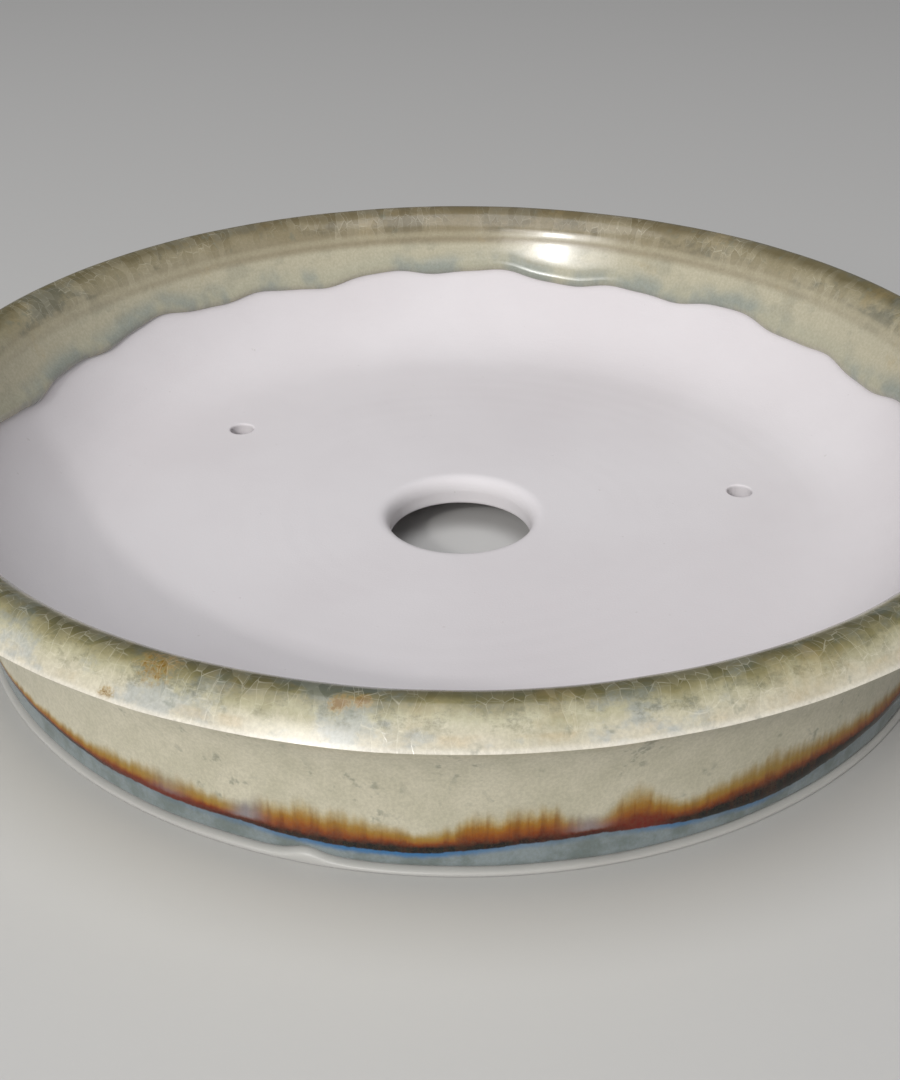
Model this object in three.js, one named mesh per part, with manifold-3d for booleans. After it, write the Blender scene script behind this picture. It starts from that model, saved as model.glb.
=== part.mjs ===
// Bonsai pot: a shallow round tray of white porcelain on a full foot ring. Celadon glaze coats the
// outside and rolls over the rim, and ends inside the bowl in a wavy edge. An iron-brown line pools
// where the celadon stops above the foot, with a thin blue-grey glaze below it. The rest is bare clay.
//
// Millimetres, +Z up. The origin is on the ground at the centre of the foot ring, with the front
// towards -Y. Every outline is drawn in a half plane: x is the radius and y is the height.

import * as THREE from 'three';
import { mergeVertices } from 'three/addons/utils/BufferGeometryUtils.js';
import Module from 'manifold-3d';

// Driving sizes of the fired clay.
const EDGE_RADIUS = 81.25; // sharp outer edge of the rim
const EDGE_HEIGHT = 27.45;
const CROWN_RADIUS = 77.8; // highest line of the rolled rim
const CROWN_HEIGHT = 30.2;
const LIP_RADIUS = 73.9; // inner edge of the rim, where the roll meets the bowl
const LIP_HEIGHT = 27.0;
const WALL_RADIUS = 69.3; // outside of the wall just above the foot
const FLOOR_RADIUS = 53.5; // flat part of the floor
const FLOOR_HEIGHT = 9.2;
const UNDERSIDE_HEIGHT = 4.8;
const DRAIN_RADIUS = 10.7;
const DRAIN_ROUNDING = 1.6;

// Foot ring. Its bare bead shows as a white line under the glaze.
const FOOT_RADIUS = 70.6;
const FOOT_INNER_RADIUS = 64.0;
const BEAD_HEIGHT = 0.8;
const FOOT_ROUNDING = 0.7;

// Holes for the wires that hold the tree, set by hand: degrees from the front towards +X, and the
// distance out from the middle.
const WIRE_HOLE_RADIUS = 1.9;
const WIRE_HOLES = [
	{ bearing: 99, out: 43.7 },
	{ bearing: 232, out: 46.3 },
	{ bearing: 346, out: 50.5 },
];

// Glaze coats.
const GAP = 0.25; // clearance between a coat and the clay, and between two coats
const GLAZE = 0.5;
const IRON_BEAD = 0.8;
const IRON_HEIGHT = 2.4;

// Mesh density.
const TURN_STEPS = 60;
const WALL_STEPS = 6;
const ROLL_STEPS = 3;
const BOWL_STEPS = 7;
const HOLE_SIDES = 16;

const at = (radius, height) => new THREE.Vector2(radius, height);

// The points of a curve after its first one.
const follow = (curve, steps) => curve.getPoints(steps).slice(1);

// The line of the clay that carries the glaze: up the foot and the wall, over the rim, into the bowl.
// A place along it is its station: whole numbers are its points, and fractions lie between them.
const FOOT_TOP = 1;
const EDGE = FOOT_TOP + WALL_STEPS;
const CROWN = EDGE + ROLL_STEPS;
const LIP = CROWN + ROLL_STEPS;
const BOWL_END = LIP + BOWL_STEPS;

function drawGlazedLine() {
	const footStart = at(WALL_RADIUS, BEAD_HEIGHT + GAP);
	const footTop = at(WALL_RADIUS, UNDERSIDE_HEIGHT - GAP);
	const edge = at(EDGE_RADIUS, EDGE_HEIGHT);
	const crown = at(CROWN_RADIUS, CROWN_HEIGHT);
	const lip = at(LIP_RADIUS, LIP_HEIGHT);
	const bowlEnd = at(FLOOR_RADIUS, FLOOR_HEIGHT);

	// The wall leans out slowly, then flares to the edge.
	const wall = new THREE.CubicBezierCurve(footTop, at(WALL_RADIUS - 0.6, 15.5), at(71.2, 22.4), edge);
	const outerRoll = new THREE.QuadraticBezierCurve(edge, at(CROWN_RADIUS + 1.2, CROWN_HEIGHT), crown);
	const innerRoll = new THREE.QuadraticBezierCurve(crown, at(LIP_RADIUS + 1.6, CROWN_HEIGHT), lip);
	// The bowl falls steeply from the lip and eases into the flat floor.
	const bowl = new THREE.CubicBezierCurve(lip, at(LIP_RADIUS - 3.6, 19), at(66, FLOOR_HEIGHT), bowlEnd);

	return [
		footStart,
		footTop,
		...follow(wall, WALL_STEPS),
		...follow(outerRoll, ROLL_STEPS),
		...follow(innerRoll, ROLL_STEPS),
		...follow(bowl, BOWL_STEPS),
	];
}

const glazedLine = drawGlazedLine();

// A line moved outwards by a distance, with its corners mitred.
function offsetLine(line, distance) {
	return line.map((point, index) => {
		const before = line[Math.max(index - 1, 0)];
		const after = line[Math.min(index + 1, line.length - 1)];
		const arriving = point.clone().sub(before).normalize();
		const leaving = after.clone().sub(point).normalize();
		const along = arriving.clone().add(leaving).normalize();
		const mitre = distance / along.dot(index === 0 ? leaving : arriving);
		return at(point.x + along.y * mitre, point.y - along.x * mitre);
	});
}

function pointAtStation(line, station) {
	const index = Math.min(Math.floor(station), line.length - 2);
	return line[index].clone().lerp(line[index + 1], station - index);
}

// The station on a rising or falling stretch of the glazed line where it passes a height.
function stationAtHeight(height, first, last) {
	for (let index = first; index < last; index++) {
		const from = glazedLine[index].y;
		const to = glazedLine[index + 1].y;
		const fraction = (height - from) / (to - from);
		if (fraction >= 0 && fraction <= 1) {
			return index + fraction;
		}
	}
	throw new Error(`no station at height ${height}`);
}

// Height of a glaze edge that ran in the kiln: its mean, and a few waves around the turn.
function runningEdge(angle, mean, waves) {
	const swell = ({ lobes, size, peak }) => size * Math.cos(lobes * (angle - THREE.MathUtils.degToRad(peak)));
	return waves.reduce((height, wave) => height + swell(wave), mean);
}

const IRON_WAVES = [
	{ lobes: 7, size: 0.5, peak: 12 },
	{ lobes: 11, size: 0.4, peak: 12 },
];
const BOWL_WAVES = [
	{ lobes: 2, size: 0.6, peak: 194 },
	{ lobes: 8, size: 0.5, peak: 182 },
	{ lobes: 20, size: 0.5, peak: 156 },
];

const ironBottom = (angle) => runningEdge(angle, 3.95, IRON_WAVES);
const ironTop = (angle) => ironBottom(angle) + IRON_HEIGHT;
const bowlEdge = (angle) => runningEdge(angle, 20.0, BOWL_WAVES);

// A ring swept around +Z from a closed outline that may change with the angle, counted from the
// front towards +X.
function revolve(outlineAt) {
	const closedOutlineAt = (angle) => [...outlineAt(angle), outlineAt(angle)[0]];
	const ring = new THREE.LatheGeometry(closedOutlineAt(0), TURN_STEPS);
	const rows = closedOutlineAt(0).length;
	for (let step = 0; step <= TURN_STEPS; step++) {
		const angle = (step % TURN_STEPS) * ((2 * Math.PI) / TURN_STEPS);
		closedOutlineAt(angle).forEach(({ x: radius, y: height }, row) => {
			const vertex = step * rows + row;
			ring.attributes.position.setXYZ(vertex, radius * Math.sin(angle), height, radius * Math.cos(angle));
		});
	}
	ring.computeVertexNormals();
	return ring.rotateX(Math.PI / 2);
}

// A coat of glaze over the clay, between the stations given for each angle.
function coat(stationsAt, thickness) {
	const innerLine = offsetLine(glazedLine, GAP);
	const outerLine = offsetLine(glazedLine, GAP + thickness);
	return revolve((angle) => {
		const stations = stationsAt(angle);
		return [
			...stations.map((station) => pointAtStation(outerLine, station)),
			...stations.map((station) => pointAtStation(innerLine, station)).reverse(),
		];
	});
}

const wholeStations = (first, last) => Array.from({ length: last - first + 1 }, (_, index) => first + index);

const wasm = await Module();
wasm.setup();

function toSolid(geometry) {
	const bare = geometry.clone();
	bare.deleteAttribute('normal');
	bare.deleteAttribute('uv');
	const merged = mergeVertices(bare);
	const vertProperties = merged.attributes.position.array;
	const triVerts = new Uint32Array(merged.index.array);
	return new wasm.Manifold(new wasm.Mesh({ numProp: 3, vertProperties, triVerts }));
}

function toGeometry(solid) {
	const { vertProperties, triVerts } = solid.getMesh();
	const geometry = new THREE.BufferGeometry();
	geometry.setAttribute('position', new THREE.BufferAttribute(vertProperties, 3));
	geometry.setIndex(new THREE.BufferAttribute(triVerts, 1));
	geometry.computeVertexNormals();
	return geometry;
}

// The tray: floor, wall and rim in one piece, with a rounded drain hole through the middle.
function bodyOutline() {
	const holeTop = FLOOR_HEIGHT - DRAIN_ROUNDING;
	const lipCentre = DRAIN_RADIUS + DRAIN_ROUNDING;
	const lip = new THREE.QuadraticBezierCurve(
		at(lipCentre, FLOOR_HEIGHT),
		at(DRAIN_RADIUS, FLOOR_HEIGHT),
		at(DRAIN_RADIUS, holeTop),
	);
	return [
		at(DRAIN_RADIUS, UNDERSIDE_HEIGHT),
		at(WALL_RADIUS, UNDERSIDE_HEIGHT),
		...glazedLine.slice(FOOT_TOP + 1),
		...lip.getPoints(ROLL_STEPS),
	];
}

function wireHole({ bearing, out }) {
	const angle = THREE.MathUtils.degToRad(bearing);
	const throughFloor = 3 * (FLOOR_HEIGHT - UNDERSIDE_HEIGHT);
	const drill = new THREE.CylinderGeometry(WIRE_HOLE_RADIUS, WIRE_HOLE_RADIUS, throughFloor, HOLE_SIDES);
	drill.rotateX(Math.PI / 2);
	drill.translate(out * Math.sin(angle), -out * Math.cos(angle), (FLOOR_HEIGHT + UNDERSIDE_HEIGHT) / 2);
	return toSolid(drill);
}

function makeBody() {
	const tray = toSolid(revolve(bodyOutline));
	const drilled = WIRE_HOLES.reduce((solid, hole) => solid.subtract(wireHole(hole)), tray);
	return toGeometry(drilled);
}

function makeFootRing() {
	const top = UNDERSIDE_HEIGHT - GAP;
	return revolve(() => [
		at(FOOT_INNER_RADIUS + FOOT_ROUNDING, 0),
		at(FOOT_RADIUS - FOOT_ROUNDING, 0),
		at(FOOT_RADIUS, FOOT_ROUNDING / 2),
		at(FOOT_RADIUS, BEAD_HEIGHT - FOOT_ROUNDING / 2),
		at(WALL_RADIUS, BEAD_HEIGHT),
		at(WALL_RADIUS, top),
		at(FOOT_INNER_RADIUS, top),
		at(FOOT_INNER_RADIUS, FOOT_ROUNDING),
	]);
}

// Coats, from the foot up. The wall coat stops just short of the edge, which the rim coat wraps.
const UNDER_EDGE = 0.25; // length of the last wall step that the rim coat covers
const toWallStation = (height) => stationAtHeight(height, 0, EDGE);

function makeBaseGlaze() {
	return coat((angle) => [0, toWallStation(ironBottom(angle) - GAP)], GLAZE);
}

function makeIronLine() {
	const middle = (angle) => (ironBottom(angle) + ironTop(angle)) / 2;
	return coat((angle) => [ironBottom(angle), middle(angle), ironTop(angle)].map(toWallStation), IRON_BEAD);
}

function makeWallGlaze() {
	const lastWhole = wholeStations(FOOT_TOP + 2, EDGE - 1);
	return coat((angle) => [toWallStation(ironTop(angle) + GAP), ...lastWhole, EDGE - 2 * UNDER_EDGE], GLAZE);
}

function makeRimGlaze() {
	const whole = wholeStations(EDGE, LIP + 1);
	return coat((angle) => [EDGE - UNDER_EDGE, ...whole, stationAtHeight(bowlEdge(angle), LIP, BOWL_END)], GLAZE);
}

const bareClay = { color: 0xd6d1d0, roughness: 0.75, metalness: 0 };
const celadon = { color: 0xb9b48c, roughness: 0.22, metalness: 0 };
const paleCeladon = { color: 0xc2bd9c, roughness: 0.2, metalness: 0 };
const ironBrown = { color: 0x5a2a10, roughness: 0.2, metalness: 0 };
const blueGrey = { color: 0x9fb0ac, roughness: 0.25, metalness: 0 };

function addPiece(pot, name, geometry, look) {
	const piece = new THREE.Mesh(geometry, new THREE.MeshStandardMaterial(look));
	piece.name = name;
	pot.add(piece);
}

const bonsaiPot = new THREE.Group();
addPiece(bonsaiPot, 'porcelain_body', makeBody(), bareClay);
addPiece(bonsaiPot, 'foot_ring', makeFootRing(), bareClay);
addPiece(bonsaiPot, 'rim_glaze', makeRimGlaze(), celadon);
addPiece(bonsaiPot, 'wall_glaze', makeWallGlaze(), paleCeladon);
addPiece(bonsaiPot, 'iron_line', makeIronLine(), ironBrown);
addPiece(bonsaiPot, 'base_glaze', makeBaseGlaze(), blueGrey);

export default bonsaiPot;
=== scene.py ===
"""Looks of a shallow round bonsai pot: bare porcelain inside, crackled celadon over the rim.

Lengths in the outline code are millimetres, as in the CAD, and become metres when a mesh is made.
Angles are bearings: 0 at the front (-Y), growing towards +X. Every ring of the pot is an outline in
(radius, height) that may change with the bearing.
"""
import math

import bpy
import numpy as np
from mathutils import Matrix, Vector


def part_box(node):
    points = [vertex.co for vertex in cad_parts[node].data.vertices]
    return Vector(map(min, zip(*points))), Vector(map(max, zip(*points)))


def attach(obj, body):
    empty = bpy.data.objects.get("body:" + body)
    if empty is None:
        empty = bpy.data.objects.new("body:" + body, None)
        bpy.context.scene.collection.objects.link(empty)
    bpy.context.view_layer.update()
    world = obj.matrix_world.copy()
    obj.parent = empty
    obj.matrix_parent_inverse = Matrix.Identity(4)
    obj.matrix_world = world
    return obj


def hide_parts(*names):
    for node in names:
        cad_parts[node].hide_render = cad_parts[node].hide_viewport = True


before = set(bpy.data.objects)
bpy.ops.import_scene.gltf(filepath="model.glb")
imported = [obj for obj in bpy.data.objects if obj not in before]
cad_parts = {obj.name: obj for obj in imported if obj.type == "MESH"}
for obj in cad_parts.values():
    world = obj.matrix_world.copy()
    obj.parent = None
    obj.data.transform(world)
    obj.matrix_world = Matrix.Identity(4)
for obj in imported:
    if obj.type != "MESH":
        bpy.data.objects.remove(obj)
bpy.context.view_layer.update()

MM = 0.001

# ---------------------------------------------------------------------------------------------
# Sizes. The CAD gives the outer sizes; the rest are the potter's.

body_low, body_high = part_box("porcelain_body")
rim_low, rim_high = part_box("rim_glaze")
foot_low, foot_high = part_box("foot_ring")

FOOT_RADIUS = foot_high[0] / MM
UNDERSIDE = body_low[2] / MM
CROWN_HEIGHT = body_high[2] / MM
COAT = (rim_high[2] - body_high[2]) / MM  # from the clay to the face of the glaze
EDGE_RADIUS = body_high[0] / MM

EDGE_HEIGHT = CROWN_HEIGHT - 2.75
CROWN_RADIUS = EDGE_RADIUS - 3.45
LIP_RADIUS = CROWN_RADIUS - 3.9
LIP_HEIGHT = CROWN_HEIGHT - 3.2
WALL_RADIUS = FOOT_RADIUS - 1.3
FLOOR_RADIUS = 53.5
FLOOR_HEIGHT = UNDERSIDE + 4.4
DRAIN_RADIUS = 10.7
DRAIN_ROUNDING = 2.2
BEAD_HEIGHT = 0.85
FOOT_INNER_RADIUS = FOOT_RADIUS - 6.6
EDGE_SOFTNESS = 0.55  # length over which the sharp edge of the rim is rounded

WIRE_HOLE_RADIUS = 1.9
WIRE_HOLE_FLARE = 0.35
WIRE_HOLE_SIDES = 40
WIRE_HOLES = ((99, 43.7), (232, 46.3), (346, 50.5))  # bearing in degrees, distance from the middle

TURN_STEPS = 720


# ---------------------------------------------------------------------------------------------
# Outlines

def bezier(points, steps):
    """Points along a quadratic or cubic Bezier curve."""
    points = np.array(points, float)
    t = np.linspace(0, 1, steps + 1)[:, None]
    while len(points) > 1:
        points = [(1 - t) * a + t * b for a, b in zip(points[:-1], points[1:])]
    return points[0]


def joined(*stretches):
    """Stretches of an outline end to end, without their doubled points."""
    return np.vstack([stretches[0]] + [stretch[1:] for stretch in stretches[1:]])


def distances(line):
    """Length along a line up to each of its points."""
    steps = np.hypot(*np.diff(line, axis=0).T)
    return np.concatenate([[0], np.cumsum(steps)])


def outward(line):
    """Mitred offset direction at each point of a line that runs up the outside of a ring."""
    arriving = np.diff(line, axis=0, prepend=2 * line[:1] - line[1:2])
    leaving = np.vstack([arriving[1:], arriving[-1:]])
    arriving /= np.linalg.norm(arriving, axis=1)[:, None]
    leaving /= np.linalg.norm(leaving, axis=1)[:, None]
    along = arriving + leaving
    along /= np.linalg.norm(along, axis=1)[:, None]
    mitre = 1 / np.sum(along * arriving, axis=1)
    return np.stack([along[:, 1], -along[:, 0]], axis=1) * mitre[:, None]


FOOT_STEPS = 40
WALL_STEPS = 400
ROLL_STEPS = 120
BOWL_STEPS = 400


def clay_stretches():
    """The clay under the glaze: foot and wall, outer and inner roll of the rim, bowl."""
    edge = (EDGE_RADIUS, EDGE_HEIGHT)
    crown = (CROWN_RADIUS, CROWN_HEIGHT)
    lip = (LIP_RADIUS, LIP_HEIGHT)
    foot = bezier([(WALL_RADIUS, BEAD_HEIGHT), (WALL_RADIUS, UNDERSIDE)], FOOT_STEPS)
    wall = bezier([(WALL_RADIUS, UNDERSIDE), (WALL_RADIUS - 0.6, 15.5), (71.2, 22.4), edge], WALL_STEPS)
    outer_roll = bezier([edge, (CROWN_RADIUS + 1.2, CROWN_HEIGHT), crown], ROLL_STEPS)
    inner_roll = bezier([crown, (LIP_RADIUS + 1.6, CROWN_HEIGHT), lip], ROLL_STEPS)
    bowl_end = (FLOOR_RADIUS, FLOOR_HEIGHT)
    bowl = bezier([lip, (LIP_RADIUS - 3.6, 19), (66, FLOOR_HEIGHT), bowl_end], BOWL_STEPS)
    return joined(foot, wall), joined(outer_roll, inner_roll), bowl


outside, roll, bowl = clay_stretches()
clay_line = joined(outside, roll, bowl)
EDGE = len(outside) - 1
LIP = EDGE + len(roll) - 1


def soften_edge(line):
    """Round the sharp edge of the rim with a small curve."""
    run = distances(line)
    near = np.nonzero(abs(run - run[EDGE]) < EDGE_SOFTNESS)[0]
    first, last = near[0], near[-1]
    softened = line.copy()
    softened[first:last + 1] = bezier([line[first], line[EDGE], line[last]], last - first)
    return softened


glaze_line = soften_edge(clay_line + COAT * outward(clay_line))
stations = distances(glaze_line)
stations -= stations[EDGE]  # millimetres along the glaze from the edge of the rim: minus on the wall
LIP_STATION = float(stations[LIP])


def along_glaze(station, depth=1.0):
    """Radius and height at a station; depth is 0 on the clay and 1 on the face of the glaze."""
    point = []
    for axis in (0, 1):
        clay = np.interp(station, stations, clay_line[:, axis])
        glaze = np.interp(station, stations, glaze_line[:, axis])
        point.append(clay + (glaze - clay) * depth)
    return np.stack(np.broadcast_arrays(*point), axis=-1)


def wall_station(height):
    """Station on the outside of the pot at a height."""
    return np.interp(height, clay_line[:EDGE, 1], stations[:EDGE])


def bowl_station(height):
    """Station inside the pot at a height."""
    return np.interp(-np.asarray(height), -clay_line[LIP:, 1], stations[LIP:])


# ---------------------------------------------------------------------------------------------
# How the glaze ran. Waves are (count around the turn, size, bearing of a peak in degrees).

IRON_WIDTH = 2.4
IRON_WAVES = ((7, 0.50, 12), (11, 0.40, 12), (29, 0.06, 3), (53, 0.04, 40))
BOWL_WAVES = ((2, 0.6, 194), (8, 0.5, 182), (20, 0.5, 156), (47, 0.1, 20))
BEAD_WAVES = ((5, 0.07, 200), (13, 0.05, 90), (31, 0.03, 10))
LUMP_WAVES = ((9, 0.03, 0), (23, 0.02, 70), (41, 0.015, 160))


def waves(turn, swells):
    """Sum of cosine swells around the pot."""
    total = np.zeros_like(turn)
    for count, size, peak in swells:
        total = total + size * np.cos(count * (turn - math.radians(peak)))
    return total


def bump_at(turn, bearing, width):
    """A smooth hill of height 1 around one bearing; both in degrees."""
    away = (np.degrees(turn) - bearing + 180) % 360 - 180
    return np.exp(-(away / width) ** 2)


def iron_bottom(turn):
    return 3.95 + waves(turn, IRON_WAVES)


def iron_top(turn):
    return iron_bottom(turn) + IRON_WIDTH


def bowl_edge(turn):
    return 20.0 + waves(turn, BOWL_WAVES)


def bead_top(turn):
    return BEAD_HEIGHT + waves(turn, BEAD_WAVES) + 0.85 * bump_at(turn, -15, 2.0)


# ---------------------------------------------------------------------------------------------
# Meshes

turns = np.arange(TURN_STEPS) * 2 * math.pi / TURN_STEPS


def ring_mesh(name, outline, closed=True):
    """A mesh swept around +Z from an outline array (turn, row, (radius, height)) in millimetres."""
    steps, rows = outline.shape[:2]
    sine, cosine = np.sin(turns)[:, None], np.cos(turns)[:, None]
    radius, height = outline[..., 0], outline[..., 1]
    places = np.stack([radius * sine, -radius * cosine, height], axis=-1) * MM

    step, row = np.meshgrid(np.arange(steps), np.arange(rows if closed else rows - 1), indexing="ij")
    next_step, next_row = (step + 1) % steps, (row + 1) % rows
    quads = np.stack([
        step * rows + row, next_step * rows + row,
        next_step * rows + next_row, step * rows + next_row,
    ], axis=-1).reshape(-1, 4)

    mesh = bpy.data.meshes.new(name)
    mesh.vertices.add(steps * rows)
    mesh.vertices.foreach_set("co", places.reshape(-1))
    mesh.loops.add(quads.size)
    mesh.loops.foreach_set("vertex_index", quads.reshape(-1))
    mesh.polygons.add(len(quads))
    mesh.polygons.foreach_set("loop_start", np.arange(0, quads.size, 4))
    mesh.update(calc_edges=True)
    mesh.polygons.foreach_set("use_smooth", np.ones(len(quads), bool))
    mesh.set_sharp_from_angle(angle=math.radians(50))
    return mesh


def add_values(mesh, name, values):
    """Store one number for each vertex, for the material to read."""
    layer = mesh.attributes.new(name, "FLOAT", "POINT")
    layer.data.foreach_set("value", np.ascontiguousarray(values, dtype=np.float32).reshape(-1))


def add_places(mesh, name, values):
    """Store one place for each vertex, for the material to read."""
    layer = mesh.attributes.new(name, "FLOAT_VECTOR", "POINT")
    layer.data.foreach_set("vector", np.ascontiguousarray(values, dtype=np.float32).reshape(-1))


UV_STRIPS = 4
UV_MARGIN = 0.01


def add_strip_uvs(mesh, outline, visible_rows):
    """Unroll a ring into strips laid side by side, most of each strip for the rows that are seen."""
    steps, rows = outline.shape[:2]
    middle = outline.mean(axis=0)
    weights = np.hypot(*(np.roll(middle, -1, axis=0) - middle).T)
    weights[visible_rows - 1:] *= 0.1
    across = np.concatenate([[0], np.cumsum(weights)])
    across /= across[-1]

    step, row = np.meshgrid(np.arange(steps), np.arange(rows), indexing="ij")
    corner_steps = np.stack([step, step + 1, step + 1, step], axis=-1).reshape(-1, 4)
    corner_rows = np.stack([row, row, row + 1, row + 1], axis=-1).reshape(-1, 4)
    strip_steps = steps // UV_STRIPS
    strip = step.reshape(-1, 1) // strip_steps
    u = (corner_steps - strip * strip_steps) / strip_steps
    v = (strip + UV_MARGIN + across[corner_rows] * (1 - 2 * UV_MARGIN)) / UV_STRIPS
    u = UV_MARGIN + u * (1 - 2 * UV_MARGIN)
    layer = mesh.uv_layers.new(name="OFBake")
    layer.data.foreach_set("uv", np.stack([u, v], axis=-1).astype(np.float32).reshape(-1))


def add_piece(name, mesh, node, material):
    piece = bpy.data.objects.new(name, mesh)
    bpy.context.scene.collection.objects.link(piece)
    mesh.materials.append(material)
    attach(piece, "root")
    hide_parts(node)
    return piece


# ---------------------------------------------------------------------------------------------
# Clay pieces

RING_SPACING = 3.7  # throwing rings left by the fingers on the floor of the bowl


def throwing_rings(turn, radius, height):
    """Shallow spiral ridges on the floor, dying out up the wall and at the drain hole."""
    fade = np.clip((radius - DRAIN_RADIUS - 5) / 10, 0, 1) * np.clip((16 - height) / 5, 0, 1)
    phase = 2 * math.pi * radius / RING_SPACING + turn[:, None] + 0.8 * np.sin(3 * turn[:, None])
    strength = 0.007 + 0.005 * np.sin(radius / 5.3 + 2 * turn[:, None])
    return strength * np.sin(phase) * fade


def body_outline():
    """Closed outline of the tray, from the drain hole out along the underside and back inside."""
    lip_radius = DRAIN_RADIUS + DRAIN_ROUNDING
    underside = bezier([(DRAIN_RADIUS + 0.5, UNDERSIDE), (WALL_RADIUS, UNDERSIDE)], 90)
    floor = bezier([(FLOOR_RADIUS, FLOOR_HEIGHT), (lip_radius, FLOOR_HEIGHT)], 90)
    hole_top = (DRAIN_RADIUS, FLOOR_HEIGHT - DRAIN_ROUNDING)
    hole_lip = bezier([(lip_radius, FLOOR_HEIGHT), (DRAIN_RADIUS + 0.3, FLOOR_HEIGHT), hole_top], 14)
    hole_wall = bezier([hole_top, (DRAIN_RADIUS, UNDERSIDE + 0.5)], 6)
    hole_foot = bezier([
        (DRAIN_RADIUS, UNDERSIDE + 0.5), (DRAIN_RADIUS, UNDERSIDE), (DRAIN_RADIUS + 0.5, UNDERSIDE),
    ], 5)
    wall = clay_line[FOOT_STEPS + 1:EDGE:WALL_STEPS // 25]
    rim = clay_line[EDGE:LIP:ROLL_STEPS // 10]
    inside = clay_line[LIP::BOWL_STEPS // 80]
    line = joined(underside, wall, rim, inside, floor, hole_lip, hole_wall, hole_foot)[:-1]
    outline = np.repeat(line[None], TURN_STEPS, axis=0)
    radius, height = outline[..., 0], outline[..., 1]
    bowl_rows = (height > UNDERSIDE + 2) & (radius < LIP_RADIUS)
    outline[..., 1] += np.where(bowl_rows, throwing_rings(turns, radius, height), 0)
    return outline


def wire_cutter(bearing, out):
    """A drill with a flared top, which leaves a soft rim around the hole."""
    flared = WIRE_HOLE_RADIUS + WIRE_HOLE_FLARE
    throat = (WIRE_HOLE_RADIUS, FLOOR_HEIGHT - 1.2 * WIRE_HOLE_FLARE)
    mouth = (flared, FLOOR_HEIGHT + 0.03)
    profile = joined(
        bezier([(WIRE_HOLE_RADIUS, UNDERSIDE - 3), throat], 1),
        bezier([throat, (WIRE_HOLE_RADIUS, FLOOR_HEIGHT), mouth], 8),
        bezier([mouth, (flared, FLOOR_HEIGHT + 2)], 1),
    )
    sides = WIRE_HOLE_SIDES
    centre_x = out * math.sin(math.radians(bearing))
    centre_y = -out * math.cos(math.radians(bearing))
    points = []
    for side in range(sides):
        angle = 2 * math.pi * side / sides
        points += [(centre_x + r * math.cos(angle), centre_y + r * math.sin(angle), z) for r, z in profile]
    rows = len(profile)
    faces = []
    for side in range(sides):
        this = side * rows
        following = (side + 1) % sides * rows
        for row in range(rows - 1):
            faces.append((this + row, following + row, following + row + 1, this + row + 1))
    faces.append([side * rows for side in reversed(range(sides))])
    faces.append([side * rows + rows - 1 for side in range(sides)])
    return points, faces


def cut_wire_holes(mesh):
    """The tray's mesh with the three tie-wire holes cut through its floor."""
    points, faces = [], []
    for bearing, out in WIRE_HOLES:
        hole_points, hole_faces = wire_cutter(bearing, out)
        faces += [[len(points) + index for index in face] for face in hole_faces]
        points += hole_points
    cutter_mesh = bpy.data.meshes.new("wire_cutter")
    cutter_mesh.from_pydata([Vector(point) * MM for point in points], [], faces)
    cutter = bpy.data.objects.new("wire_cutter", cutter_mesh)
    blank = bpy.data.objects.new("blank", mesh)
    for thing in (cutter, blank):
        bpy.context.scene.collection.objects.link(thing)
    cut = blank.modifiers.new("holes", "BOOLEAN")
    cut.object = cutter
    cut.operation = "DIFFERENCE"
    cut.solver = "EXACT"
    bpy.context.view_layer.update()
    drilled = bpy.data.meshes.new_from_object(blank.evaluated_get(bpy.context.evaluated_depsgraph_get()))
    drilled.name = "porcelain"
    drilled.polygons.foreach_set("use_smooth", np.ones(len(drilled.polygons), bool))
    drilled.set_sharp_from_angle(angle=math.radians(50))
    for thing in (cutter, blank):
        bpy.data.objects.remove(thing)
    return drilled


def foot_outline():
    """Closed outline of the foot ring, with a rounded bare bead outside at the ground."""
    top = UNDERSIDE - 0.05
    outer = FOOT_RADIUS
    inner = FOOT_INNER_RADIUS
    rows = joined(
        bezier([(inner + 1.2, 0), (outer - 0.45, 0)], 10),
        bezier([(outer - 0.45, 0), (outer, 0), (outer, 0.4)], 8),
        bezier([(outer, 0.4), (outer, BEAD_HEIGHT), (WALL_RADIUS, BEAD_HEIGHT)], 8),
        bezier([(WALL_RADIUS, BEAD_HEIGHT), (WALL_RADIUS, top)], 4),
        bezier([(WALL_RADIUS, top), (inner, top)], 6),
        bezier([(inner, top), (inner, 1.2)], 8),
        bezier([(inner, 1.2), (inner, 0), (inner + 1.2, 0)], 8),
    )[:-1]
    outline = np.repeat(rows[None], TURN_STEPS, axis=0)
    bead = (rows[:, 0] > WALL_RADIUS - 0.01) & (rows[:, 1] > 0.3) & (rows[:, 1] < BEAD_HEIGHT + 0.01)
    outline[:, bead, 1] *= (bead_top(turns) / BEAD_HEIGHT)[:, None]
    return outline


# ---------------------------------------------------------------------------------------------
# Glaze pieces

CLEAR_OF_CLAY = 0.04
ROUNDING = 0.9  # length over which a coat rises from the clay at its own edge


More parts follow.
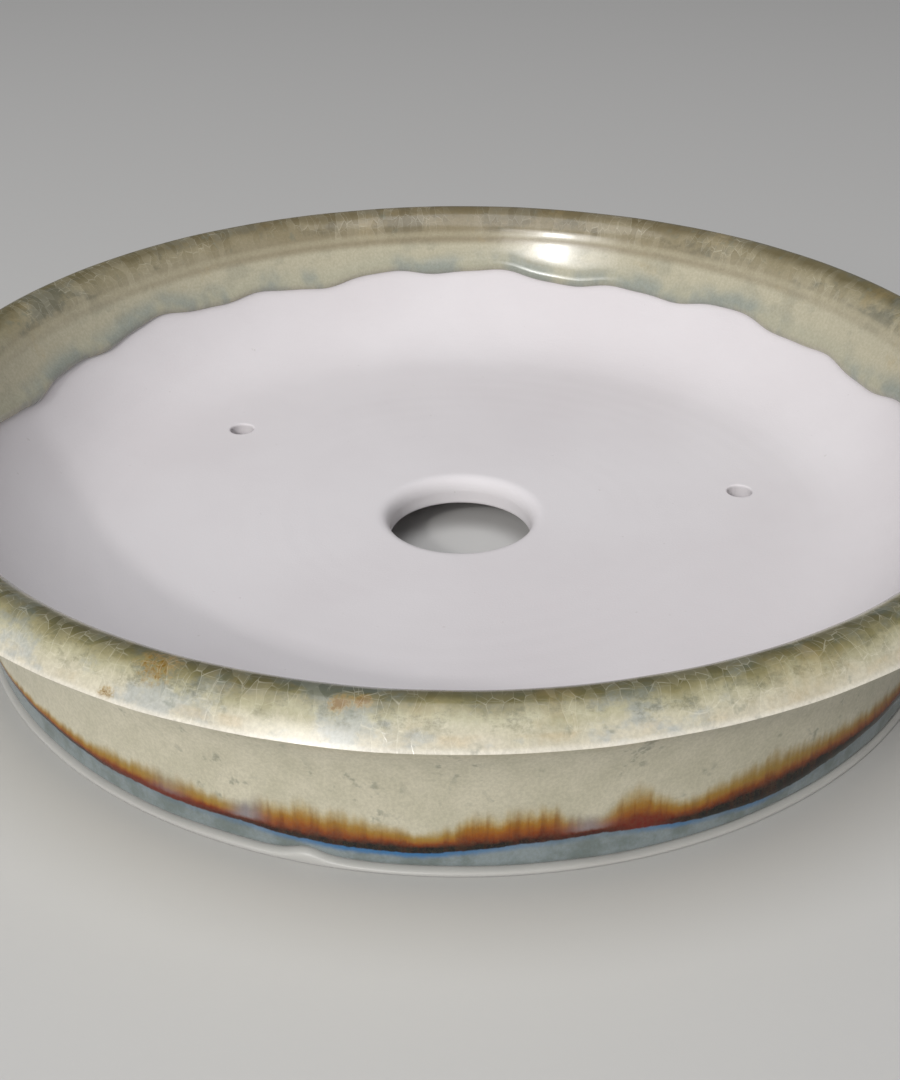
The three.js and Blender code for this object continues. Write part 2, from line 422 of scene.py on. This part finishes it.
def coat_outline(first, last, rows, first_free=False, last_free=False, swelling=None):
    """Closed outline of a coat between two stations, given for each turn.

    A free edge thins out onto the clay in a rounded bead. An edge that isn't free meets the next
    coat at full depth. swelling adds to the depth, as a function of (turn, station).
    """
    share = np.linspace(0, 1, rows)
    if first_free or last_free:
        share = 0.5 - 0.5 * np.cos(math.pi * share)
    station = first[:, None] + (last - first)[:, None] * share
    depth = 1 + waves(turns, LUMP_WAVES)[:, None] * np.sin(station * 0.35 + 2)
    if swelling is not None:
        depth = depth + swelling(turns[:, None], station)
    if first_free:
        depth = depth * bead_rise(station - first[:, None])
    if last_free:
        depth = depth * bead_rise(last[:, None] - station)
    face = along_glaze(station, np.maximum(depth, CLEAR_OF_CLAY))
    back = along_glaze(station[:, ::-1][:, ::4], CLEAR_OF_CLAY * 0.5)
    station_of_rows = np.concatenate([station, station[:, ::-1][:, ::4]], axis=1)
    return np.concatenate([face, back], axis=1), station_of_rows


def bead_rise(distance):
    """Depth of a glaze bead, 0 to 1, at a distance in from its edge."""
    inside = np.clip(distance / ROUNDING, 0, 1)
    return np.sqrt(1 - (1 - inside) ** 2)


def glaze_mesh(name, outline, station, visible_rows):
    """A coat's mesh, carrying what its material needs to know about each point."""
    mesh = ring_mesh(name, outline)
    add_strip_uvs(mesh, outline, visible_rows)
    drum = np.broadcast_to(turns[:, None], station.shape)
    add_places(mesh, "drum", np.stack([
        CROWN_RADIUS * np.sin(drum), -CROWN_RADIUS * np.cos(drum), station,
    ], axis=-1))
    unrolled = np.where(drum > math.pi, drum - 2 * math.pi, drum)
    add_places(mesh, "unrolled", np.stack([
        CROWN_RADIUS * unrolled, station, np.zeros_like(station),
    ], axis=-1))
    add_values(mesh, "away_from_seam", 1 - bump_at(drum, 180, 3))
    add_values(mesh, "rust", rust_spots(drum, station))
    add_values(mesh, "station", station)
    add_values(mesh, "over_iron", station - wall_station(iron_bottom(turns))[:, None])
    add_values(mesh, "to_bowl_edge", bowl_station(bowl_edge(turns))[:, None] - station)
    for layer, values in glaze_weather().items():
        add_values(mesh, layer, np.broadcast_to(values[:, None], station.shape))
    return mesh


def hills(turn, *places):
    """Sum of smooth hills around the pot, each given as (height, bearing, width)."""
    return sum(height * bump_at(turn, bearing, width) for height, bearing, width in places)


def block_at(turn, first, last):
    """1 between two bearings, with ends that fall off within a degree."""
    away = (np.degrees(turn) + 180) % 360 - 180
    return 0.5 * (np.tanh((away - first) / 0.4) - np.tanh((away - last) / 0.4))


def rust_spots(turn, station):
    """Where iron in the glaze broke through on the rim.

    Each spot is (strength, bearing, station, radius in millimetres).
    """
    spots = (
        (1.0, -9.0, 4.7, 1.0), (1.0, -7.3, 5.3, 0.85), (0.5, -24, 5.6, 2.6), (0.8, -27.4, 0.8, 0.8),
        (0.9, 128, 4.0, 1.3), (0.8, 236, 3.2, 1.2),
    )
    total = np.zeros_like(station)
    for strength, bearing, place, radius in spots:
        across = bump_at(turn, bearing, math.degrees(radius / CROWN_RADIUS))
        total = total + strength * across * np.exp(-((station - place) / radius) ** 2)
    return total


def glaze_weather():
    """How strongly each effect of the firing shows around the pot.

    The front follows the pot as seen. Away from it the effects come and go in waves of their own.
    """
    away = 1 - bump_at(turns, 0, 50)
    feather = 1.2 + hills(turns, (0.45, -15, 5), (0.8, 17.6, 2.2), (0.3, 31, 8))
    feather += 0.45 * block_at(turns, 0, 9.4)
    feather -= hills(turns, (0.35, -24, 5), (0.35, -4, 4), (0.4, 12.5, 2), (0.4, 23, 3), (0.3, -45, 10))
    feather -= hills(turns, (0.95, -66, 18), (0.75, 60, 12))
    feather += away * waves(turns, ((5, 0.2, 120), (9, 0.15, 260)))
    black = 0.25 + hills(turns, (0.75, -5, 12), (1.8, 33, 11))
    black += away * waves(turns, ((4, 0.25, 150), (7, 0.2, 250)))
    red = hills(turns, (1.0, -31, 9), (1.0, 17.8, 2.8), (0.4, 12, 5), (0.6, 150, 20), (0.5, 255, 15))
    blue = 0.1 + hills(turns, (1.0, -7, 13), (0.7, 21, 4), (0.6, 30, 3), (0.5, 200, 30))
    lavender = hills(turns, (0.9, -21, 1.6), (0.8, 12.2, 1.8), (0.4, -30, 2), (0.5, 170, 8), (0.4, 280, 6))
    amber = 0.15 + hills(turns, (0.9, 32, 9), (0.8, -3, 2.5), (0.4, -9, 4), (0.8, -34, 7), (0.7, -24, 3))
    amber += away * 0.3 - 0.15 * block_at(turns, 0, 9.4)
    brown_crown = 0.65 * bump_at(turns, 180, 70)
    return {
        "feather": feather, "black": black, "red": red, "amber": amber, "blue": blue,
        "lavender": lavender, "brown_crown": brown_crown,
    }


def iron_swelling(turn, station):
    """The pooled roll along the iron line."""
    over = station - wall_station(iron_bottom(turn))
    return 0.22 * np.exp(-((over - 0.6) / 0.9) ** 2)


def pool_swelling(turn, station):
    """The glaze gathers above its edge in the bowl, and thins at the edge and lip of the rim."""
    to_edge = bowl_station(bowl_edge(turn)) - station
    gathered = np.exp(-((to_edge - 1.3) / 1.2) ** 2)
    thinned = np.exp(-((station - LIP_STATION) / 0.7) ** 2)
    return 0.25 * gathered - 0.12 * thinned


# ---------------------------------------------------------------------------------------------
# Materials

def srgb(red, green, blue):
    """A colour given as 0-255 sRGB, as the shaders want it."""
    def linear(level):
        share = level / 255
        return share / 12.92 if share <= 0.04045 else ((share + 0.055) / 1.055) ** 2.4

    return (linear(red), linear(green), linear(blue), 1)


class Shader:
    """Short names for the nodes of one material."""

    def __init__(self, name):
        self.material = bpy.data.materials.new(name)
        self.material.use_nodes = True
        self.tree = self.material.node_tree
        self.surface = self.tree.nodes["Principled BSDF"]

    def node(self, kind, **settings):
        made = self.tree.nodes.new(kind)
        for name, value in settings.items():
            setattr(made, name, value)
        return made

    def plug(self, socket, value):
        """Link a socket to a node's output, or set it to a value."""
        if isinstance(value, bpy.types.NodeSocket):
            self.tree.links.new(value, socket)
        else:
            socket.default_value = value

    def math(self, operation, *values, clamp=False):
        made = self.node("ShaderNodeMath", operation=operation, use_clamp=clamp)
        for socket, value in zip(made.inputs, values):
            self.plug(socket, value)
        return made.outputs[0]

    def value(self, name):
        return self.node("ShaderNodeAttribute", attribute_name=name).outputs["Fac"]

    def place(self, name):
        return self.node("ShaderNodeAttribute", attribute_name=name).outputs["Vector"]

    def object_place(self):
        return self.node("ShaderNodeTexCoord").outputs["Object"]

    def stretched(self, vector, scale):
        made = self.node("ShaderNodeMapping")
        self.plug(made.inputs["Vector"], vector)
        made.inputs["Scale"].default_value = scale
        return made.outputs[0]

    def noise(self, vector, scale, detail=3.0, roughness=0.55):
        made = self.node("ShaderNodeTexNoise")
        self.plug(made.inputs["Vector"], vector)
        made.inputs["Scale"].default_value = scale
        made.inputs["Detail"].default_value = detail
        made.inputs["Roughness"].default_value = roughness
        return made.outputs["Fac"]

    def noise_vector(self, vector, scale, amount):
        """The vector pushed about by noise of this amount."""
        made = self.node("ShaderNodeTexNoise")
        self.plug(made.inputs["Vector"], vector)
        made.inputs["Scale"].default_value = scale
        made.inputs["Detail"].default_value = 2
        push = self.node("ShaderNodeVectorMath", operation="MULTIPLY_ADD")
        self.plug(push.inputs[0], made.outputs["Color"])
        push.inputs[1].default_value = (amount, amount, amount)
        self.plug(push.inputs[2], vector)
        return push.outputs[0]

    def step(self, value, low, high):
        """0 below low, 1 above high, smooth between."""
        made = self.node("ShaderNodeMapRange", interpolation_type="SMOOTHSTEP")
        self.plug(made.inputs["Value"], value)
        self.plug(made.inputs["From Min"], low)
        self.plug(made.inputs["From Max"], high)
        return made.outputs[0]

    def inverse(self, share):
        return self.math("SUBTRACT", 1, share)

    def part(self, share, amount):
        return self.math("MULTIPLY", share, amount)

    def band(self, value, first, last):
        """1 between two values, 0 elsewhere, with soft ends."""
        softness = 0.35 * (last - first)
        rising = self.step(value, first, first + softness)
        falling = self.inverse(self.step(value, last - softness, last))
        return self.math("MULTIPLY", rising, falling)

    def ramp(self, value, stops, low, high):
        """Colours at places between low and high."""
        scaled = self.node("ShaderNodeMapRange")
        self.plug(scaled.inputs["Value"], value)
        scaled.inputs["From Min"].default_value = low
        scaled.inputs["From Max"].default_value = high
        made = self.node("ShaderNodeValToRGB")
        elements = made.color_ramp.elements
        while len(elements) < len(stops):
            elements.new(1)
        for element, (place, colour) in zip(elements, stops):
            element.position = (place - low) / (high - low)
            element.color = srgb(*colour)
        self.plug(made.inputs["Fac"], scaled.outputs[0])
        return made.outputs["Color"]

    def mix(self, share, first, second, blend="MIX"):
        made = self.node("ShaderNodeMix", data_type="RGBA", blend_type=blend)
        self.plug(made.inputs["Factor"], share)
        self.plug(made.inputs["A"], first)
        self.plug(made.inputs["B"], second)
        return made.outputs["Result"]

    def cells(self, vector, scale, feature):
        made = self.node("ShaderNodeTexVoronoi", feature=feature, voronoi_dimensions="2D")
        self.plug(made.inputs["Vector"], vector)
        made.inputs["Scale"].default_value = scale
        made.inputs["Randomness"].default_value = 0.65
        return made

    def cracks(self, vector, scale, width):
        """1 on the lines between cells, 0 inside them."""
        distance = self.cells(vector, scale, "DISTANCE_TO_EDGE").outputs["Distance"]
        return self.inverse(self.step(distance, 0.0, width))

    def bump(self, height, distance, strength=1.0, over=None):
        made = self.node("ShaderNodeBump")
        made.inputs["Distance"].default_value = distance
        made.inputs["Strength"].default_value = strength
        self.plug(made.inputs["Height"], height)
        if over is not None:
            self.plug(made.inputs["Normal"], over)
        return made.outputs["Normal"]

    def finish(self, colour, roughness, normal):
        self.plug(self.surface.inputs["Base Color"], colour)
        self.plug(self.surface.inputs["Roughness"], roughness)
        self.plug(self.surface.inputs["Normal"], normal)
        return self.material


def porcelain_material(name, light, dark, smoothest):
    """Bare fired porcelain: a light shade with a faint bloom of a dark one, and fine tooth.

    smoothest is the roughness between the grains.
    """
    shader = Shader(name)
    place = shader.object_place()
    bloom = shader.noise(place, 18, 4)
    colour = shader.mix(shader.step(bloom, 0.35, 0.7), srgb(*light), srgb(*dark))
    speck = shader.step(shader.noise(place, 900, 2), 0.74, 0.8)
    colour = shader.mix(shader.part(speck, 0.25), colour, srgb(150, 140, 130))
    grain = shader.noise(place, 2600, 3, 0.7)
    rings = shader.noise(shader.stretched(place, (1, 1, 6)), 60, 4)
    normal = shader.bump(rings, 0.0004, 0.25, over=shader.bump(grain, 0.00008, 0.35))
    roughness = shader.math("ADD", smoothest, shader.math("MULTIPLY", grain, 0.2))
    shader.surface.inputs["Specular IOR Level"].default_value = CLAY_SPECULAR
    return shader.finish(colour, roughness, normal)


LONG_CRACK_SCALE = 0.8  # cells to the millimetre across the long cracks
GLAZE_SPECULAR = 0.4
CLAY_SPECULAR = 0.35


def crackle(shader):
    """Fine crackle: long curving cracks crossed by short ones, and the tone of each cell."""
    warped = shader.noise_vector(shader.place("unrolled"), 0.22, 1.6)
    long_way = shader.stretched(warped, (1, 0.34, 1))
    long_cracks = shader.cracks(long_way, LONG_CRACK_SCALE, 0.04)
    short_cracks = shader.cracks(shader.stretched(warped, (0.55, 1, 1)), 0.6, 0.03)
    cracks = shader.math("MAXIMUM", long_cracks, shader.part(short_cracks, 0.7))
    fading = shader.step(shader.noise(warped, 0.5, 2), 0.3, 0.62)
    cracks = shader.math("MULTIPLY", cracks, fading)
    return cracks, shader.cells(long_way, LONG_CRACK_SCALE, "F1").outputs["Color"]


def celadon_detail(shader, colour, drum, crack_share, speck_share):
    """Crackle, grey-green specks, fine grain and waviness, shared by every celadon coat."""
    cracks, tone = crackle(shader)
    patches = shader.step(shader.noise(drum, 0.08, 2), 0.3, 0.6)
    patches = shader.math("MULTIPLY", patches, shader.value("away_from_seam"))
    share = shader.math("MULTIPLY", patches, crack_share)
    lighter = shader.mix(0.12, colour, srgb(226, 220, 196))
    darker = shader.mix(0.1, colour, srgb(70, 68, 44))
    faceted = shader.mix(shader.step(tone, 0.3, 0.7), darker, lighter)
    colour = shader.mix(share, colour, faceted)
    lines = shader.math("MULTIPLY", cracks, share)
    colour = shader.mix(shader.part(lines, 0.34), colour, srgb(240, 235, 214))

    specks = shader.step(shader.noise(drum, 0.5, 3, 0.6), 0.57, 0.7)
    clusters = shader.step(shader.noise(drum, 0.12, 2), 0.42, 0.62)
    specks = shader.math("MULTIPLY", specks, shader.math("MULTIPLY", clusters, speck_share))
    colour = shader.mix(specks, colour, srgb(118, 124, 112))
    grain = shader.step(shader.noise(drum, 2.2, 4, 0.7), 0.35, 0.65)
    colour = shader.mix(shader.math("MULTIPLY_ADD", grain, -0.16, 0.16), colour, srgb(96, 92, 66))

    waviness = shader.bump(shader.noise(drum, 0.22, 2), 0.0003, 0.08)
    normal = shader.bump(shader.inverse(lines), 0.00003, 0.28, over=waviness)
    roughness = shader.math("MULTIPLY_ADD", shader.noise(drum, 1.1, 3), 0.1, 0.13)
    shader.surface.inputs["Specular IOR Level"].default_value = GLAZE_SPECULAR
    return colour, roughness, normal


# The olive darkening from 4.6 to 7.5 mm, on the inner side of the roll, is partly the glaze's own colour
# and partly painted shade.
RIM_COLOURS = (  # from the edge of the rim inwards, at millimetres along the glaze
    (-1.0, (212, 204, 184)), (0.8, (210, 203, 183)), (2.2, (200, 194, 170)), (3.4, (178, 173, 143)),
    (4.6, (140, 133, 95)), (5.8, (104, 98, 64)), (7.5, (92, 86, 57)), (9.5, (162, 155, 127)),
    (13.0, (190, 184, 161)),
)


def rim_clouds(shader, colour, drum, station, in_bowl):
    """Pale blue-grey clouds near the edge, dark grey-green ones on the roll, and an olive mottle."""
    stretched = shader.stretched(drum, (1, 1, 1.4))
    clouds = shader.step(shader.noise(stretched, 0.11, 6, 0.65), 0.5, 0.63)
    clouds = shader.math("MULTIPLY", clouds, shader.math("MULTIPLY_ADD", in_bowl, -0.5, 0.7))
    inward = shader.step(station, 1.5, 6.0)
    cloud_tint = shader.mix(inward, srgb(176, 181, 180), srgb(98, 106, 100))
    colour = shader.mix(clouds, colour, cloud_tint)
    mottle = shader.step(shader.noise(stretched, 0.35, 6, 0.75), 0.48, 0.64)
    on_roll = shader.part(shader.band(station, 0.5, 10.0), 0.5)
    return shader.mix(shader.math("MULTIPLY", mottle, on_roll), colour, srgb(86, 88, 66))


def brown_at_back(shader, colour, station):
    """The browner glaze on the far crown and just inside the lip."""
    on_crown = shader.math("MULTIPLY", shader.step(station, 1, 4), shader.value("brown_crown"))
    above_bowl = shader.inverse(shader.step(station, LIP_STATION + 0.9, LIP_STATION + 2.3))
    return shader.mix(shader.math("MULTIPLY", on_crown, above_bowl), colour, srgb(126, 111, 84))


def rust_stains(shader, colour, drum):
    """Ragged ochre spots with a paler halo, and a faint broad bloom."""
    rust_place = shader.value("rust")
    ragged = shader.math("MULTIPLY_ADD", shader.noise(drum, 1.8, 4, 0.7), 2.4, -1.2)
    ragged_rust = shader.math("ADD", rust_place, ragged)
    halo = shader.math("MULTIPLY", shader.step(ragged_rust, 0.0, 0.6), shader.step(rust_place, 0.04, 0.3))
    core = shader.math("MULTIPLY", shader.step(ragged_rust, 0.35, 0.85), shader.step(rust_place, 0.08, 0.4))
    colour = shader.mix(shader.part(halo, 0.6), colour, srgb(168, 138, 78))
    colour = shader.mix(shader.part(core, 0.93), colour, srgb(122, 88, 20))
    bloom = shader.step(shader.noise(drum, 0.09, 5, 0.7), 0.55, 0.7)
    return shader.mix(shader.part(bloom, 0.22), colour, srgb(176, 150, 96))


def thin_places_and_painted_lip_highlight(shader, colour, drum, station):
    """Where the glaze thins over the sharp edge and the lip, the pale clay shows through; the pale line
    along the lip is also partly a painted highlight.
    """
    tinge = shader.step(shader.noise(drum, 0.2, 4), 0.48, 0.68)
    tinge = shader.math("MULTIPLY", tinge, shader.band(station, 0.5, 2.2))
    colour = shader.mix(shader.part(tinge, 0.22), colour, srgb(206, 172, 114))
    from_edge = shader.math("ABSOLUTE", station)
    thin_edge = shader.inverse(shader.step(from_edge, 0.15, 0.8))
    colour = shader.mix(shader.part(thin_edge, 0.8), colour, srgb(232, 226, 212))
    # Pale line along the lip: thin glaze, and partly a painted highlight of the ridge.
    from_lip = shader.math("ABSOLUTE", shader.math("SUBTRACT", station, LIP_STATION))
    thin_lip_and_painted_highlight = shader.inverse(shader.step(from_lip, 0.1, 0.9))
    return shader.mix(shader.part(thin_lip_and_painted_highlight, 0.45), colour, srgb(184, 176, 150))


def bowl_pool(shader, colour, drum, drift):
    """The blue-grey band where the glaze pooled above its edge in the bowl."""
    near_pool = shader.math("MULTIPLY_ADD", drift, 0.5, shader.value("to_bowl_edge"))
    pool = shader.inverse(shader.step(near_pool, 1.0, 5.0))
    patches = shader.step(shader.noise(drum, 0.09, 3), 0.44, 0.6)
    pool_tint = shader.mix(patches, srgb(174, 172, 152), srgb(132, 144, 142))
    return shader.mix(shader.part(pool, 0.7), colour, pool_tint)


def rim_material():
    """Celadon of the rim: cream where it thins at the edge, olive on the roll with painted shade darkening
    its inner side, blue-grey where it pools.
    """
    shader = Shader("rim_celadon")
    drum = shader.place("drum")
    station = shader.value("station")
    drift = shader.math("MULTIPLY_ADD", shader.noise(drum, 0.16, 4), 4.0, -2.0)
    in_bowl = shader.step(station, LIP_STATION - 2, LIP_STATION + 1)

    colour = shader.ramp(shader.math("ADD", station, drift), RIM_COLOURS, -1.0, 13.0)
    colour = rim_clouds(shader, colour, drum, station, in_bowl)
    colour = brown_at_back(shader, colour, station)
    colour = rust_stains(shader, colour, drum)
    colour = thin_places_and_painted_lip_highlight(shader, colour, drum, station)
    colour = bowl_pool(shader, colour, drum, drift)

    crack_share = shader.math("MULTIPLY_ADD", in_bowl, -0.6, 0.8)
    speck_share = shader.math("MULTIPLY_ADD", in_bowl, -0.41, 0.45)
    colour, roughness, normal = celadon_detail(shader, colour, drum, crack_share, speck_share)
    roughness = shader.math("MULTIPLY_ADD", in_bowl, 0.02, roughness)
    return shader.finish(colour, roughness, normal)


IRON_COLOURS = (  # from the black pooled iron up into the celadon
    (-0.4, (10, 9, 13)), (0.0, (22, 11, 10)), (0.25, (80, 30, 8)), (0.6, (126, 56, 8)),
    (1.1, (154, 86, 16)), (1.7, (168, 118, 36)), (2.5, (182, 152, 82)), (3.6, (196, 184, 146)),
)


def iron_shade(shader, drum, over):
    """How far up out of the iron a point is: 0 at the top of the black, 3.6 where celadon is clean."""
    broad = shader.noise(shader.stretched(drum, (1, 1, 0.25)), 0.3, 3, 0.5)
    fine = shader.noise(shader.stretched(drum, (1, 1, 0.12)), 1.0, 3, 0.5)
    streaks = shader.math("MULTIPLY_ADD", fine, 0.5, shader.math("MULTIPLY", broad, 0.7))
    reach = shader.math("MULTIPLY", shader.value("feather"), shader.math("ADD", streaks, 0.3))
    reach = shader.math("MAXIMUM", reach, 0.25)
    black = shader.math("MULTIPLY", shader.value("black"), 0.8)
    above = shader.math("DIVIDE", shader.math("SUBTRACT", over, black), reach)
    ragged = shader.math("MULTIPLY_ADD", shader.noise(drum, 0.8, 4, 0.6), 0.8, -0.4)
    return shader.math("ADD", above, ragged), fine


def iron_colour(shader, shade, streaks):
    """Brown iron feathering up from black, with red, amber and lavender where the firing left them."""
    iron = shader.ramp(shade, IRON_COLOURS, -0.4, 3.6)
    iron = shader.mix(shader.part(shader.step(streaks, 0.45, 0.65), 0.3), iron, srgb(84, 38, 14))
    dark = shader.inverse(shader.step(shade, 0.3, 1.4))
    red = shader.math("MULTIPLY", shader.value("red"), dark)
    iron = shader.mix(shader.math("MULTIPLY", red, 0.8, clamp=True), iron, srgb(116, 34, 18))
    hazy = shader.band(shade, 0.6, 3.8)
    amber = shader.math("MULTIPLY", shader.value("amber"), hazy)
    iron = shader.mix(shader.math("MULTIPLY", amber, 0.7, clamp=True), iron, srgb(160, 130, 56))
    above_line = shader.step(shade, 0.15, 0.8)
    lavender = shader.math("MULTIPLY", shader.value("lavender"), above_line, clamp=True)
    return shader.mix(lavender, iron, srgb(142, 138, 142))


def base_colour(shader, below, mottle):
    """Thin blue-grey glaze, with a bright blue fringe under the iron line."""
    blue_grey = shader.mix(shader.step(mottle, 0.4, 0.65), srgb(142, 153, 156), srgb(118, 129, 128))
    fringe = shader.math("MULTIPLY", shader.value("blue"), shader.step(below, -1.15, -0.25), clamp=True)
    return shader.mix(fringe, blue_grey, srgb(62, 120, 172))


def outside_material(name):
    """Celadon of the wall, feathering through iron brown to black, with blue-grey glaze below."""
    shader = Shader(name)
    drum = shader.place("drum")
    over = shader.value("over_iron")
    shade, streaks = iron_shade(shader, drum, over)
    mottle = shader.noise(drum, 0.2, 5, 0.6)
    celadon = shader.mix(shader.step(mottle, 0.35, 0.7), srgb(215, 209, 187), srgb(203, 198, 175))
    clean = shader.step(shade, 1.5, 3.9)
    colour = shader.mix(clean, iron_colour(shader, shade, streaks), celadon)

    ragged = shader.math("MULTIPLY_ADD", shader.noise(drum, 0.9, 3), 0.5, -0.25)
    below = shader.math("ADD", over, ragged)
    base = base_colour(shader, below, mottle)
    colour = shader.mix(shader.step(below, -0.2, 0.1), base, colour)
    speck_share = shader.part(clean, 0.5)
    colour, roughness, normal = celadon_detail(shader, colour, drum, 0.05, speck_share)
    return shader.finish(colour, roughness, normal)


# ---------------------------------------------------------------------------------------------
# The pot

porcelain = porcelain_material("bare_porcelain", (222, 218, 220), (215, 210, 212), 0.55)
# The foot gets a darker copy of the bare porcelain: painted shade, to offset the light the pale floor
# bounces up onto it.
foot_porcelain_painted_shade = porcelain_material("bare_porcelain_foot_shaded", (196, 195, 191), (184, 182, 178), 0.25)
body_mesh = cut_wire_holes(ring_mesh("pot_body", body_outline()))
add_piece("pot_body", body_mesh, "porcelain_body", porcelain)
foot_mesh = ring_mesh("pot_foot_ring", foot_outline())
add_piece("pot_foot_ring", foot_mesh, "foot_ring", foot_porcelain_painted_shade)


def add_coat(name, node, slot, material, rows, first, last, **free):
    outline, station = coat_outline(first, last, rows, **free)
    mesh = glaze_mesh(name, outline, station, rows)
    add_piece(name, mesh, node, material)


under_edge = np.full(TURN_STEPS, -EDGE_SOFTNESS)
add_coat(
    "pot_base_glaze", "base_glaze", "blue_grey_glaze", outside_material("blue_grey_glaze"), 14,
    wall_station(bead_top(turns) + 0.06), wall_station(iron_bottom(turns)),
    first_free=True, swelling=iron_swelling,
)
add_coat(
    "pot_iron_line", "iron_line", "iron_glaze", outside_material("iron_glaze"), 16,
    wall_station(iron_bottom(turns)), wall_station(iron_top(turns)), swelling=iron_swelling,
)
add_coat(
    "pot_wall_glaze", "wall_glaze", "wall_celadon", outside_material("wall_celadon"), 56,
    wall_station(iron_top(turns)), under_edge, swelling=iron_swelling,
)
add_coat(
    "pot_rim_glaze", "rim_glaze", "rim_celadon", rim_material(), 84,
    under_edge, bowl_station(bowl_edge(turns)), last_free=True, swelling=pool_swelling,
)


# ---------------------------------------------------------------------------------------------
# Stage, light and camera

FLOOR_SIZE = 20.0
EYE_BACK = 2.564  # the camera's place, in radii of the rim
EYE_UP = 1.545
LAMP_AIM = (0, 0, 0.02)


def add_floor():
    mesh = bpy.data.meshes.new("studio_floor")
    half = FLOOR_SIZE / 2
    corners = [(-half, -half, 0), (half, -half, 0), (half, half, 0), (-half, half, 0)]
    mesh.from_pydata(corners, [], [(0, 1, 2, 3)])
    shader = Shader("studio_floor")
    grain = shader.bump(shader.noise(shader.object_place(), 400), 0.0001, 0.2)
    mesh.materials.append(shader.finish(srgb(196, 195, 193), 0.6, grain))
    floor = bpy.data.objects.new("studio_floor", mesh)
    bpy.context.scene.collection.objects.link(floor)


def add_light(name, place, size, power, colour):
    """A round lamp that faces the pot; size is its diameter."""
    light = bpy.data.lights.new(name, "AREA")
    light.shape = "DISK"
    light.size = size
    light.energy = power
    light.color = colour
    lamp = bpy.data.objects.new(name, light)
    lamp.location = place
    lamp.rotation_euler = (Vector(LAMP_AIM) - Vector(place)).to_track_quat("-Z", "Y").to_euler()
    bpy.context.scene.collection.objects.link(lamp)


def add_lights():
    """A small bright lamp for the highlights, a wide one around it, and a soft one overhead."""
    key_place = (-0.43, -0.89, 0.614)
    key_colour = (1.0, 0.99, 0.975)
    add_light("key", key_place, 0.07, 3.0, key_colour)
    add_light("key_glow", key_place, 0.5, 4.6, key_colour)
    add_light("fill", (-0.1, -0.35, 1.2), 1.1, 8.1, (0.98, 0.985, 1.0))


def add_world(colour, strength):
    world = bpy.data.worlds.new("studio")
    world.use_nodes = True
    background = world.node_tree.nodes["Background"]
    background.inputs["Color"].default_value = colour
    background.inputs["Strength"].default_value = strength
    bpy.context.scene.world = world


def add_camera():
    """Camera close in front of the pot, looking down a little over its rim."""
    radius = rim_high[0]
    camera = bpy.data.cameras.new("camera")
    camera.lens = 53.33
    camera.sensor_width = 36
    camera.clip_start = 0.01
    eye = bpy.data.objects.new("camera", camera)
    yaw, pitch, roll = math.radians(0.44), math.radians(30.2), math.radians(0.2)
    aim = Matrix.Rotation(yaw, 4, "Z") @ Matrix.Rotation(math.pi / 2 - pitch, 4, "X")
    turn = aim @ Matrix.Rotation(-roll, 4, "Z")
    eye.matrix_world = Matrix.Translation((0, -EYE_BACK * radius, EYE_UP * radius)) @ turn
    bpy.context.scene.collection.objects.link(eye)
    bpy.context.scene.camera = eye


add_floor()
add_lights()
add_world((0.86, 0.87, 0.9, 1), 0.18)
add_camera()
bpy.context.scene.view_settings.view_transform = "Standard"
